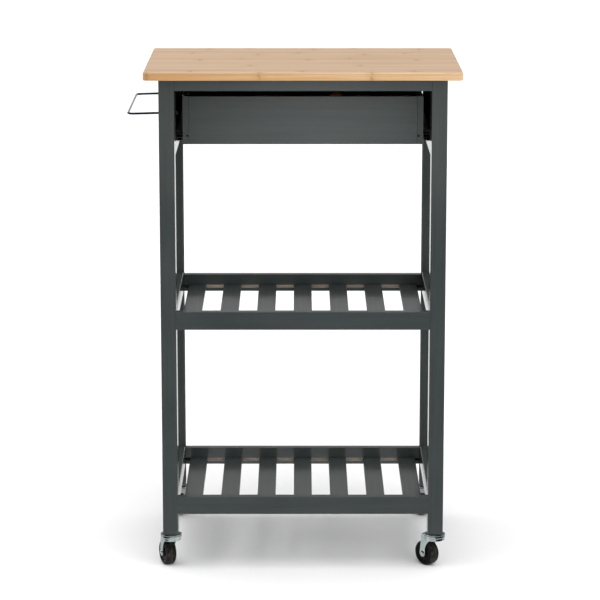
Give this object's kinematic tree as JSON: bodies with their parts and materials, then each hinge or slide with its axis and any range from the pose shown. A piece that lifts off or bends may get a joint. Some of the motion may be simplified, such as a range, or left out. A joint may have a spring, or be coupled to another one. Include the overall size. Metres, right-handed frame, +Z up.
{
  "type": "kitchen island cart",
  "caption": "Kitchen island cart with bamboo worktop, dark lacquered wood frame, slatted shelves, pull-out drawer, wire towel rail and swivel casters.",
  "frame": {"origin": "on the floor, below the middle of the whole cart's bounding box, towel rail and handle included", "axes": "+Z up; +Y is the way the drawer opens; -X is the side with the towel rail"},
  "size_m": [0.5814, 0.389, 0.892],
  "materials": {
    "bamboo": "oiled bamboo, fine straight grain",
    "grey_lacquer": "dark grey satin lacquer on wood",
    "drawer_panel": "thin board with a dark grey face",
    "raw_wood": "bare beech",
    "chrome": "bright chrome plate",
    "zinc_steel": "zinc-plated steel",
    "slide_steel": "black-coated steel",
    "black_wheel": "moulded black plastic"
  },
  "bodies": {
    "frame": {"worktop": "bamboo", "top_rail_back": "grey_lacquer", "top_rail_front": "grey_lacquer", "apron_left": "grey_lacquer", "apron_right": "grey_lacquer", "leg_back_left": "grey_lacquer", "leg_back_right": "grey_lacquer", "leg_front_left": "grey_lacquer", "leg_front_right": "grey_lacquer", "middle_shelf_rail_back": "grey_lacquer", "middle_shelf_rail_front": "grey_lacquer", "middle_side_rail_left": "grey_lacquer", "middle_side_rail_right": "grey_lacquer", "middle_shelf_slats": "grey_lacquer", "lower_shelf_rail_back": "grey_lacquer", "lower_shelf_rail_front": "grey_lacquer", "lower_side_rail_left": "grey_lacquer", "lower_side_rail_right": "grey_lacquer", "lower_shelf_slats": "grey_lacquer", "frame_dowels": "raw_wood", "towel_rail": "chrome", "caster_mount_back_left": "chrome", "caster_mount_back_right": "chrome", "caster_mount_front_left": "chrome", "caster_mount_front_right": "chrome", "frame_bolts": "zinc_steel", "barrel_nuts": "zinc_steel", "worktop_screws": "zinc_steel", "slide_screws_fixed": "zinc_steel", "caster_inserts": "zinc_steel", "swivel_balls": "zinc_steel", "towel_rail_nuts": "slide_steel", "slide_outer_left": "slide_steel", "slide_outer_right": "slide_steel"},
    "drawer": {"drawer_front": "grey_lacquer", "drawer_back": "grey_lacquer", "drawer_side_left": "grey_lacquer", "drawer_side_right": "grey_lacquer", "drawer_bottom": "drawer_panel", "drawer_pegs": "raw_wood", "drawer_handle": "chrome", "slide_screws_moving": "zinc_steel", "handle_screws": "zinc_steel", "slide_inner_left": "slide_steel", "slide_inner_right": "slide_steel"},
    "slide_cages": {"slide_cage_left": "zinc_steel", "slide_cage_right": "zinc_steel", "slide_balls": "zinc_steel"},
    "fork_back_left": {"caster_fork_back_left": "chrome", "caster_axle_back_left": "chrome"},
    "wheel_back_left": {"caster_wheel_back_left": "black_wheel"},
    "fork_back_right": {"caster_fork_back_right": "chrome", "caster_axle_back_right": "chrome"},
    "wheel_back_right": {"caster_wheel_back_right": "black_wheel"},
    "fork_front_left": {"caster_fork_front_left": "chrome", "caster_axle_front_left": "chrome"},
    "wheel_front_left": {"caster_wheel_front_left": "black_wheel"},
    "fork_front_right": {"caster_fork_front_right": "chrome", "caster_axle_front_right": "chrome"},
    "wheel_front_right": {"caster_wheel_front_right": "black_wheel"}
  },
  "joints": [
    {"name": "drawer_slide", "type": "slide", "parent": "frame", "child": "drawer", "axis": [0, 1, 0], "range_m": [0, 0.17]},
    {"name": "cage_slide", "type": "slide", "parent": "frame", "child": "slide_cages", "axis": [0, 1, 0], "range_m": [0, 0.085]},
    {"name": "swivel_back_left", "type": "hinge", "parent": "frame", "child": "fork_back_left", "pos_m": [-0.2198, -0.1645, 0.06], "axis": [0, 0, 1], "continuous": true},
    {"name": "roll_back_left", "type": "hinge", "parent": "fork_back_left", "child": "wheel_back_left", "pos_m": [-0.22722, -0.14701, 0.0225], "axis": [-0.9205, -0.3907, 0], "continuous": true},
    {"name": "swivel_back_right", "type": "hinge", "parent": "frame", "child": "fork_back_right", "pos_m": [0.2512, -0.1645, 0.06], "axis": [0, 0, 1], "continuous": true},
    {"name": "roll_back_right", "type": "hinge", "parent": "fork_back_right", "child": "wheel_back_right", "pos_m": [0.23849, -0.15038, 0.0225], "axis": [-0.7431, -0.6691, 0], "continuous": true},
    {"name": "swivel_front_left", "type": "hinge", "parent": "frame", "child": "fork_front_left", "pos_m": [-0.2198, 0.1455, 0.06], "axis": [0, 0, 1], "continuous": true},
    {"name": "roll_front_left", "type": "hinge", "parent": "fork_front_left", "child": "wheel_front_left", "pos_m": [-0.22212, 0.16436, 0.0225], "axis": [-0.9925, -0.1219, 0], "continuous": true},
    {"name": "swivel_front_right", "type": "hinge", "parent": "frame", "child": "fork_front_right", "pos_m": [0.2512, 0.1455, 0.06], "axis": [0, 0, 1], "continuous": true},
    {"name": "roll_front_right", "type": "hinge", "parent": "fork_front_right", "child": "wheel_front_right", "pos_m": [0.24228, 0.16228, 0.0225], "axis": [-0.8829, -0.4695, 0], "continuous": true}
  ],
  "couplings": [
    {"joint": "cage_slide", "follows": "drawer_slide", "ratio": 0.5}
  ]
}
